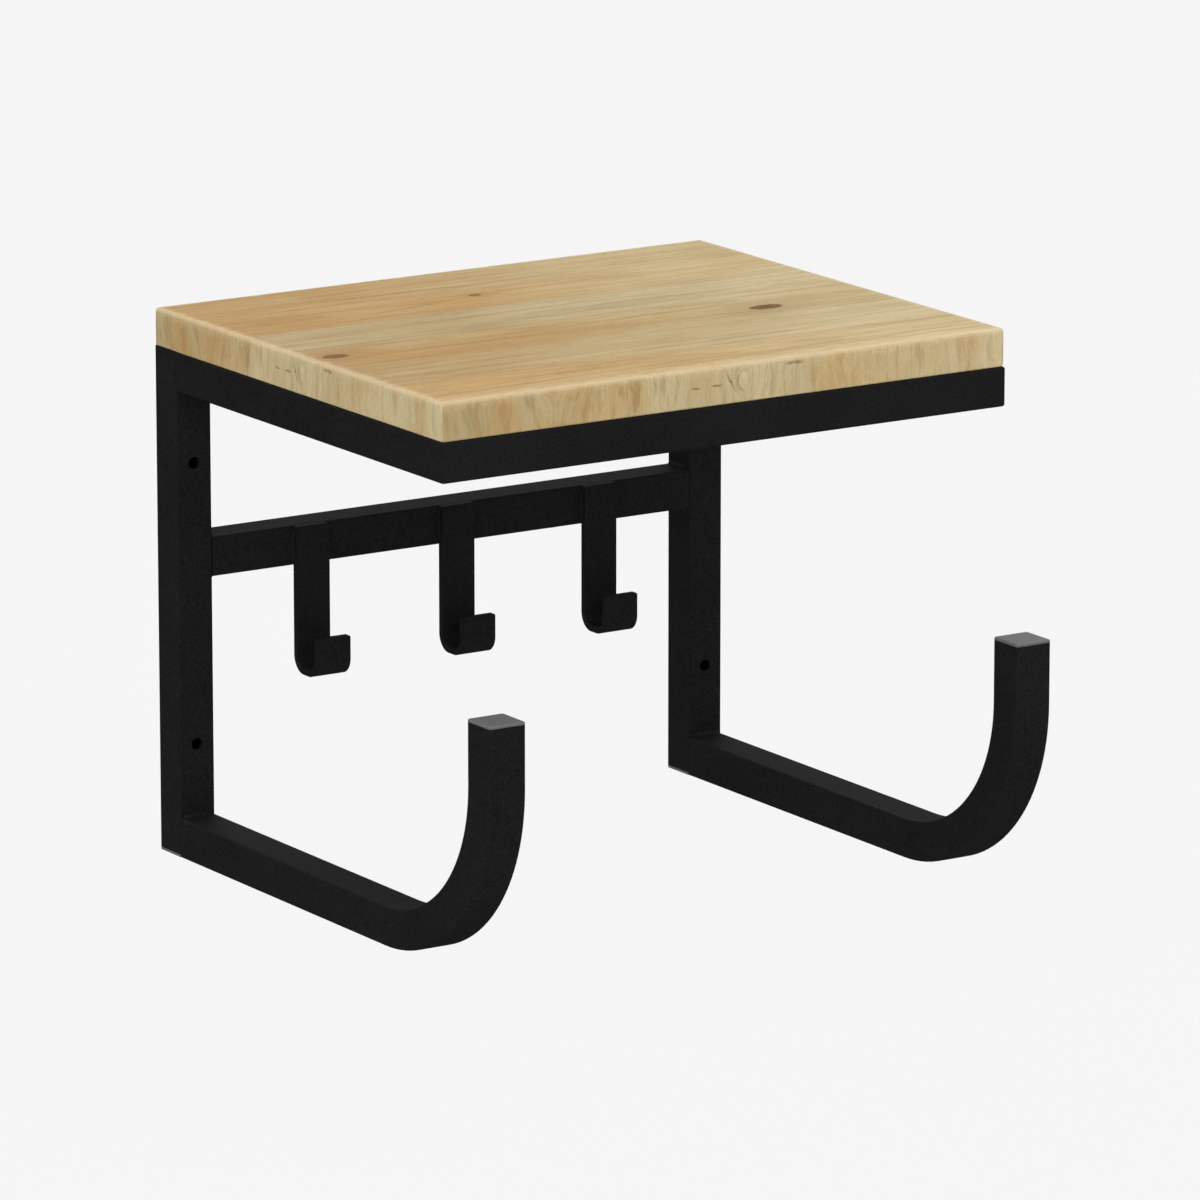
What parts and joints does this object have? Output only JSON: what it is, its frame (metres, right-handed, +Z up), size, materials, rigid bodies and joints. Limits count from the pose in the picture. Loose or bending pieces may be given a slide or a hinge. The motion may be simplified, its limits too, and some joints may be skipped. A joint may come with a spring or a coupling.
{
  "type": "bicycle wall rack",
  "caption": "Wall rack that hangs a bicycle by its top tube on upturned square-tube arms, with a wooden shelf above and small strap hooks between.",
  "frame": {"origin": "centre of the rectangle of four wall screw holes, on the wall plane that the rack's back faces touch", "axes": "+X along the wall to the right of a person facing the rack, +Y into the wall, +Z up; the rack stands out from the wall towards -Y"},
  "size_m": [0.288, 0.2767, 0.2465],
  "materials": {
    "frame_coat": "satin black powder coat over welded steel tube",
    "board_wood": "clear matte oil on light honey-coloured solid wood",
    "plug_plastic": "fine matte moulding texture",
    "screw_steel": "bright zinc"
  },
  "bodies": {
    "root": {"shelf_board": "board_wood", "front_rail": "frame_coat", "rear_rail": "frame_coat", "left_side_rail": "frame_coat", "right_side_rail": "frame_coat", "left_upright": "frame_coat", "right_upright": "frame_coat", "crossbar": "frame_coat", "left_bike_hook": "frame_coat", "right_bike_hook": "frame_coat", "left_hook_tip_plug": "plug_plastic", "right_hook_tip_plug": "plug_plastic", "left_upright_foot_plug": "plug_plastic", "right_upright_foot_plug": "plug_plastic", "left_small_hook": "frame_coat", "middle_small_hook": "frame_coat", "right_small_hook": "frame_coat", "front_left_board_screw": "screw_steel", "rear_left_board_screw": "screw_steel", "front_right_board_screw": "screw_steel", "rear_right_board_screw": "screw_steel"}
  },
  "joints": []
}
